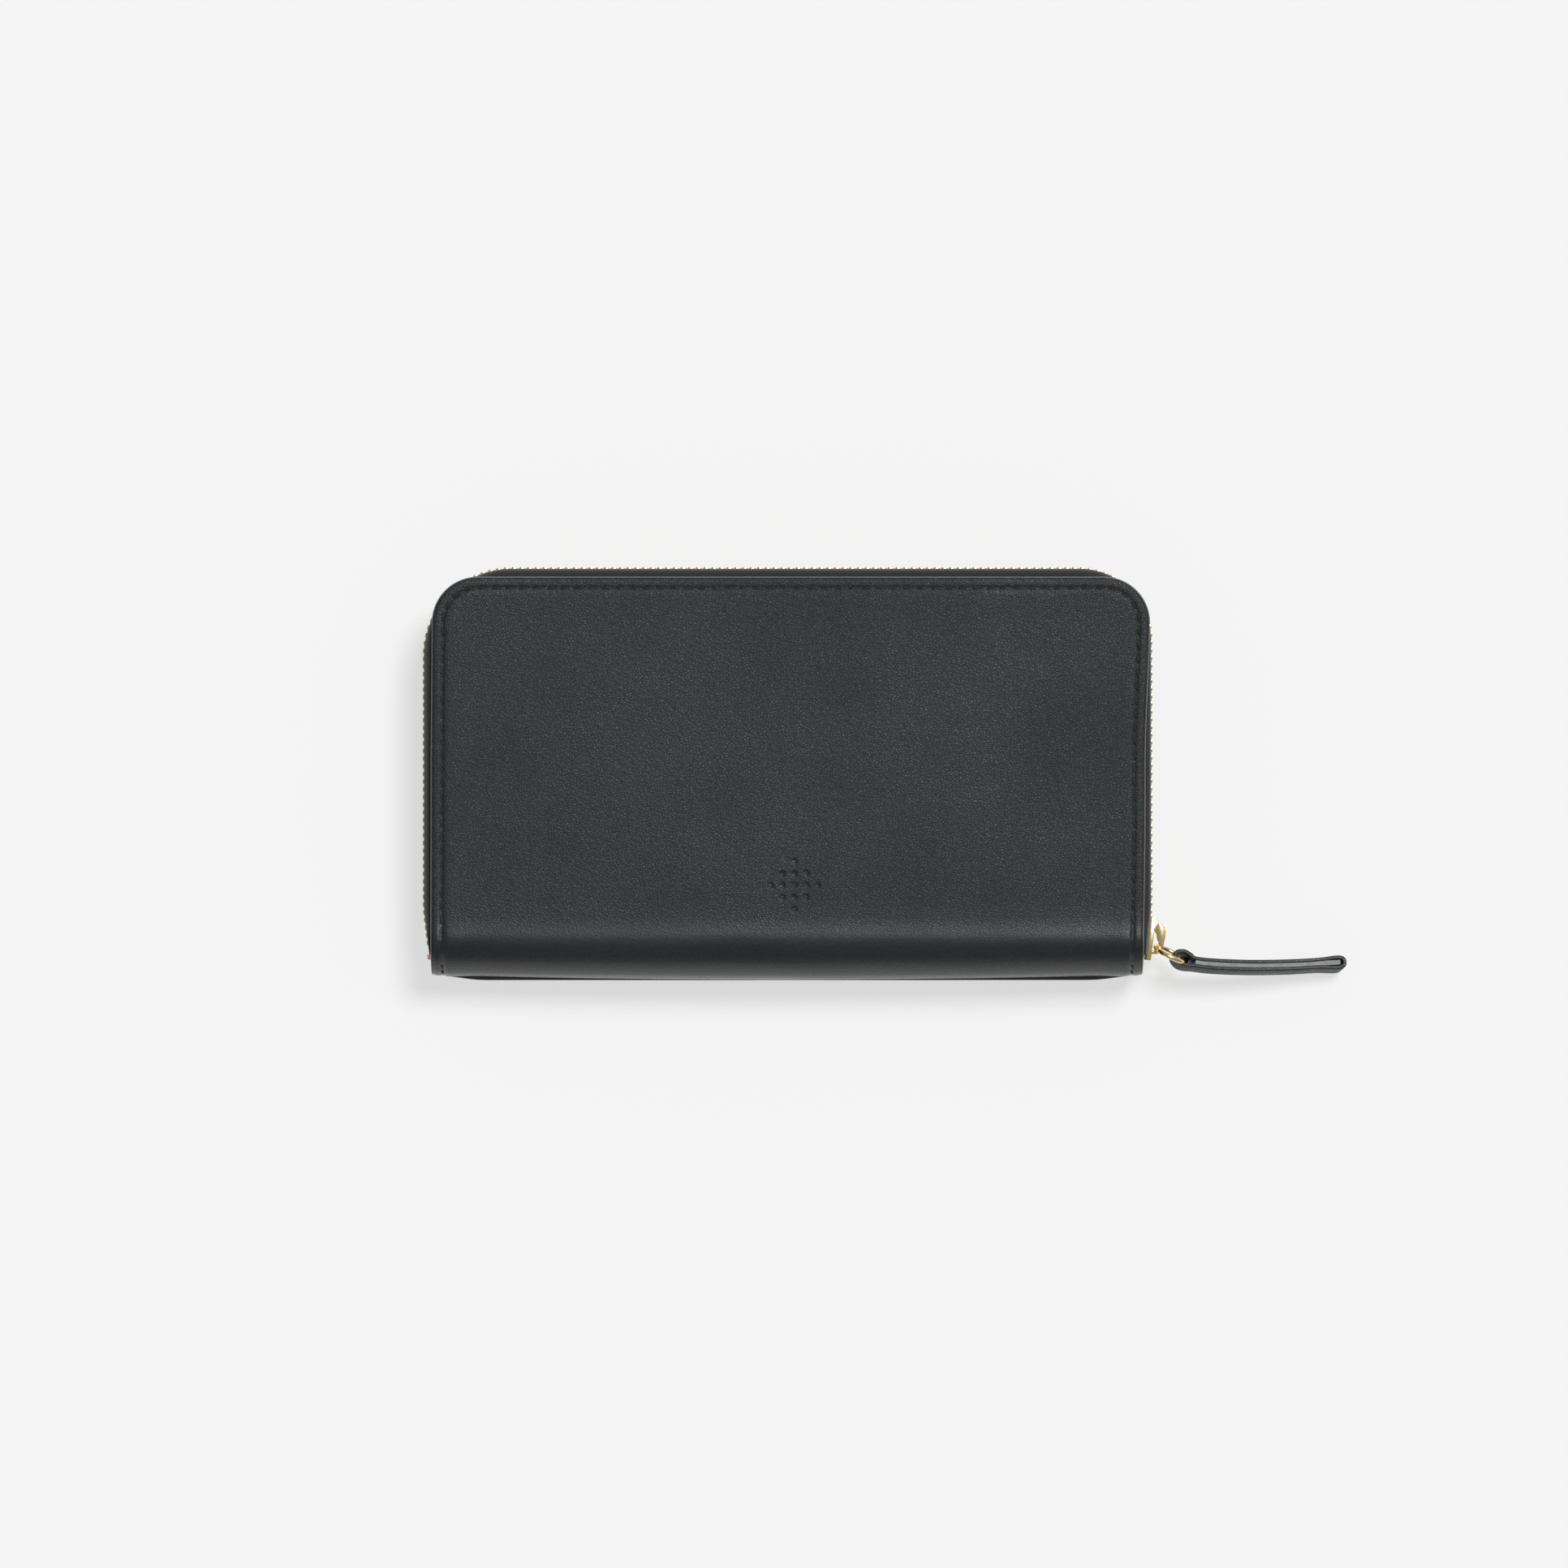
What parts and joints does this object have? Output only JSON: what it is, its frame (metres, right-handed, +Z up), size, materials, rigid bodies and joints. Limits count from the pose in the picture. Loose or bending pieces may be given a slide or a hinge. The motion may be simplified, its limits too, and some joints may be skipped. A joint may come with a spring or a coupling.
{
  "type": "zip around wallet",
  "caption": "Long leather wallet closed by a metal zip round three sides, with a rolled spine, a ring and strap pull, card slots and a zipped coin pocket.",
  "frame": {"origin": "middle of the back cover's rest face", "axes": "+X along the spine towards the slider's end, +Y from the spine to the free edge, +Z up through the thickness"},
  "size_m": [0.2406, 0.1073, 0.024],
  "materials": {
    "cover_leather": "fine pebbled grain, semi-matt",
    "inner_leather": "smooth, semi-matt",
    "lining": "fine twill",
    "board": "matt fibre board",
    "zip_tape": "woven",
    "zip_teeth": "polished light gold",
    "gold_metal": "polished light gold",
    "thread": "waxed thread"
  },
  "bodies": {
    "back": {"back_card_panel": "inner_leather", "back_card_pocket_1": "inner_leather", "back_card_pocket_2": "inner_leather", "back_card_pocket_3": "inner_leather", "back_cover": "cover_leather", "back_lining": "lining", "back_seam_stitching": "thread", "back_stiffener": "board", "back_zip_tape": "zip_tape", "back_zip_teeth": "zip_teeth", "zip_bottom_stop": "gold_metal"},
    "spine": {"coin_pocket_back_wall": "lining", "coin_pocket_edge": "lining", "coin_pocket_front_wall": "lining", "coin_pocket_hem": "lining", "coin_zip_back_tape": "zip_tape", "coin_zip_front_tape": "zip_tape", "coin_zip_stops": "gold_metal", "coin_zip_teeth": "zip_teeth", "left_back_gusset": "inner_leather", "left_front_gusset": "inner_leather", "left_zip_end_tab": "cover_leather", "right_back_gusset": "inner_leather", "right_front_gusset": "inner_leather", "right_zip_end_tab": "cover_leather", "spine_cover": "cover_leather", "spine_interlining": "board", "spine_lining": "lining"},
    "front": {"front_card_panel": "inner_leather", "front_card_pocket_1": "inner_leather", "front_card_pocket_2": "inner_leather", "front_card_pocket_3": "inner_leather", "front_cover": "cover_leather", "front_lining": "lining", "front_seam_stitching": "thread", "front_stiffener": "board", "front_zip_tape": "zip_tape", "front_zip_teeth": "zip_teeth"},
    "slider": {"slider_body": "gold_metal", "slider_hook": "gold_metal"},
    "ring": {"pull_ring": "gold_metal"},
    "strap": {"pull_strap": "cover_leather", "pull_strap_stitching": "thread"},
    "coin_slider": {"coin_slider_body": "gold_metal", "coin_slider_bridge": "gold_metal"},
    "coin_pull": {"coin_pull": "gold_metal"}
  },
  "joints": [
    {"name": "spine_fold", "type": "hinge", "parent": "back", "child": "spine", "pos_m": [0, -0.0463, 0.00161], "axis": [1, 0, 0], "range_deg": [0, 40], "deforming": ["left_back_gusset", "right_back_gusset", "back_zip_tape", "back_zip_teeth"]},
    {"name": "cover_fold", "type": "hinge", "parent": "spine", "child": "front", "pos_m": [0, -0.0463, 0.02239], "axis": [1, 0, 0], "range_deg": [0, 40], "deforming": ["left_front_gusset", "right_front_gusset", "front_zip_tape", "front_zip_teeth"]},
    {"name": "slider_travel", "type": "slide", "parent": "back", "child": "slider", "axis": [0.0162, 0.9999, 0], "range_m": [0, 0.068]},
    {"name": "ring_swing", "type": "hinge", "parent": "slider", "child": "ring", "pos_m": [0.09506, -0.04395, 0.012], "axis": [0, 0, 1], "range_deg": [-30, 60]},
    {"name": "strap_swing", "type": "hinge", "parent": "ring", "child": "strap", "pos_m": [0.10297, -0.04781, 0.012], "axis": [0, 0, 1], "range_deg": [-20, 20]},
    {"name": "coin_slider_travel", "type": "slide", "parent": "spine", "child": "coin_slider", "axis": [-1, 0, 0], "range_m": [0, 0.13]},
    {"name": "coin_pull_swing", "type": "hinge", "parent": "coin_slider", "child": "coin_pull", "pos_m": [0.0646, 0.0413, 0.012], "axis": [0, 0, -1], "range_deg": [0, 90]}
  ],
  "couplings": [
    {"joint": "cover_fold", "follows": "spine_fold", "ratio": 1}
  ]
}
